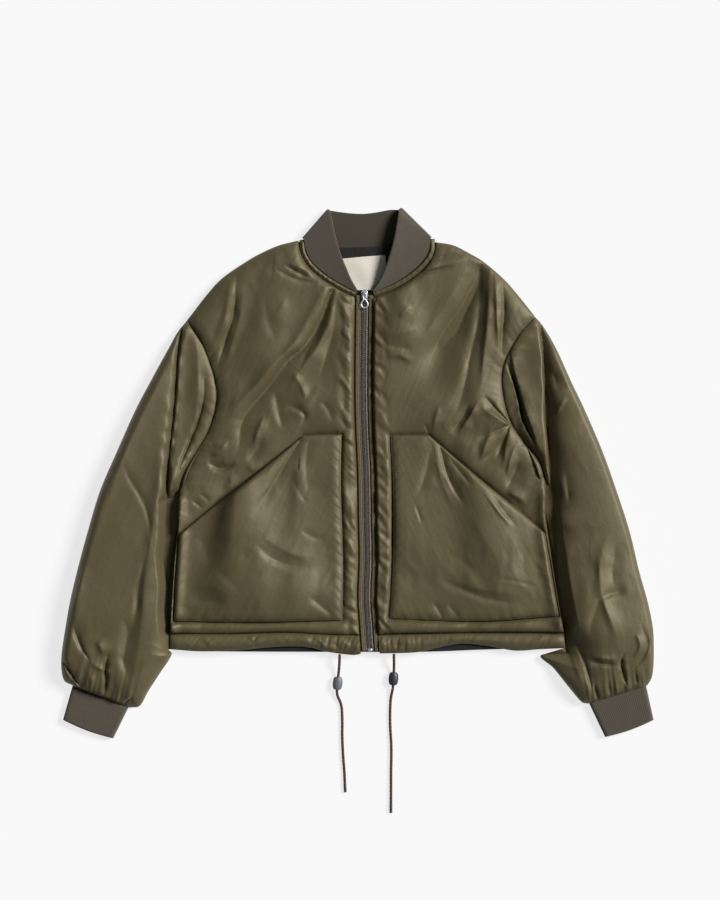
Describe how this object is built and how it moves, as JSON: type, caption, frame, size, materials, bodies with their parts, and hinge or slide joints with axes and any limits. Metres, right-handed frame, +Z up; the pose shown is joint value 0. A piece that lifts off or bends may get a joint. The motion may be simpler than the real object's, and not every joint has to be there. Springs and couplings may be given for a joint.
{
  "type": "bomber jacket",
  "caption": "Cropped padded nylon bomber jacket with rib collar and cuffs, slanted pockets, zip and drawcord hem, lying flat on its back.",
  "frame": {"origin": "middle of the jacket's box, on the surface that it lies on, drawcords left out", "axes": "+X towards the wearer's left sleeve, +Y from hem to collar, +Z up from the surface"},
  "size_m": [0.828, 0.8467, 0.0367],
  "materials": {
    "olive_nylon": "tightly woven olive nylon with a soft sheen over wadding",
    "rib_knit": "matt brown-olive rib knit",
    "black_lining": "smooth black polyester lining",
    "cotton_label": "bare cream woven label",
    "zip_tape": "woven brown-olive zip tape",
    "zip_teeth": "dark plated zip teeth",
    "nickel_slider": "satin nickel plate",
    "braided_cord": "dark brown round braid",
    "cord_tip": "dark crimped metal tip",
    "toggle_plastic": "satin dark grey moulding"
  },
  "bodies": {
    "jacket": {"aglet_left": "cord_tip", "aglet_right": "cord_tip", "back": "olive_nylon", "collar": "rib_knit", "cuff_left": "rib_knit", "cuff_right": "rib_knit", "drawcord_left": "braided_cord", "drawcord_right": "braided_cord", "front_left": "olive_nylon", "front_right": "olive_nylon", "hem_casing_back": "olive_nylon", "hem_casing_front_left": "olive_nylon", "hem_casing_front_right": "olive_nylon", "hem_facing": "black_lining", "neck_binding_left": "olive_nylon", "neck_binding_right": "olive_nylon", "neck_label": "cotton_label", "neck_lining": "black_lining", "placket_left": "olive_nylon", "placket_right": "olive_nylon", "pocket_left": "olive_nylon", "pocket_right": "olive_nylon", "sleeve_left": "olive_nylon", "sleeve_right": "olive_nylon", "toggle_left": "toggle_plastic", "toggle_right": "toggle_plastic", "zip_bottom_stop": "zip_teeth", "zip_chain": "zip_teeth", "zip_slider": "nickel_slider", "zip_tape_left": "zip_tape", "zip_tape_right": "zip_tape"},
    "pull": {"zip_pull": "nickel_slider"}
  },
  "joints": [
    {"name": "pull_hinge", "type": "hinge", "parent": "jacket", "child": "pull", "pos_m": [0.00936, 0.2505, 0.0178], "axis": [-1, 0, 0], "range_deg": [0, 150]}
  ]
}
